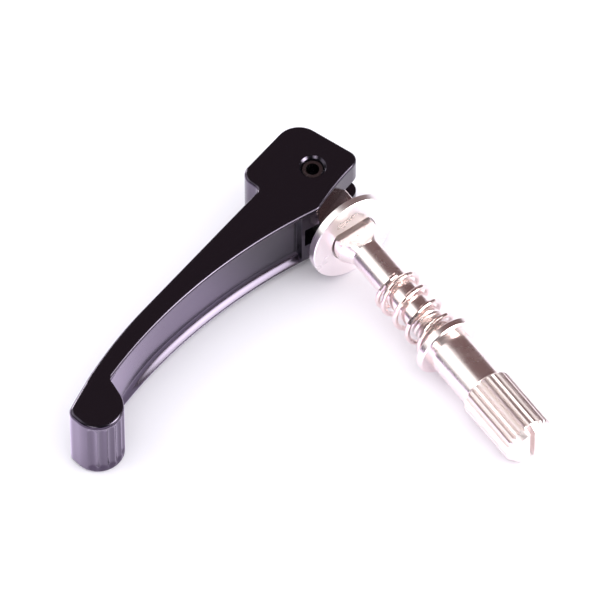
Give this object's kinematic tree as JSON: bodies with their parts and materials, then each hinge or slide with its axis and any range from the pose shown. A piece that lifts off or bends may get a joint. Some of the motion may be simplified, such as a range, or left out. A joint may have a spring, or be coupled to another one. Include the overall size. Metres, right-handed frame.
{
  "type": "cam lever clamp bolt",
  "caption": "Quick-release clamp bolt: a forked cam lever on a pinned eye bolt, with a keyed washer, a spring and a knurled thumb nut.",
  "frame": {"origin": "centre of the washer's clamping face, on the bolt's axis", "axes": "+X along the bolt from the lever to the nut; +Z along the lever's pin, upwards; the handle points towards -Y"},
  "size_m": [0.0742, 0.0724, 0.0172],
  "materials": {
    "lever_black": "gloss",
    "pin_black": "satin",
    "nickel": "polished",
    "spring_nickel": "polished"
  },
  "bodies": {
    "bolt": {"bolt": "nickel"},
    "lever": {"lever": "lever_black", "pivot_pin": "pin_black"},
    "washer": {"washer": "nickel"},
    "spring": {"spring": "spring_nickel"},
    "nut": {"nut": "nickel"}
  },
  "joints": [
    {"name": "lever_hinge", "type": "hinge", "parent": "bolt", "child": "lever", "pos_m": [-0.01235, 0, 0], "axis": [0, 0, 1], "range_deg": [-112, 5]},
    {"name": "washer_slide", "type": "slide", "parent": "bolt", "child": "washer", "axis": [1, 0, 0], "range_m": [-0.001, 0.003]},
    {"name": "spring_slide", "type": "slide", "parent": "bolt", "child": "spring", "axis": [1, 0, 0], "range_m": [-0.007, 0.005]},
    {"name": "nut_turn", "type": "hinge", "parent": "spring", "child": "nut", "pos_m": [0.0282, 0, 0], "axis": [1, 0, 0], "range_deg": [-2520, 1800]}
  ],
  "couplings": [
    {"joint": "spring_slide", "follows": "nut_turn", "m_per_rad": 0.00015915}
  ]
}
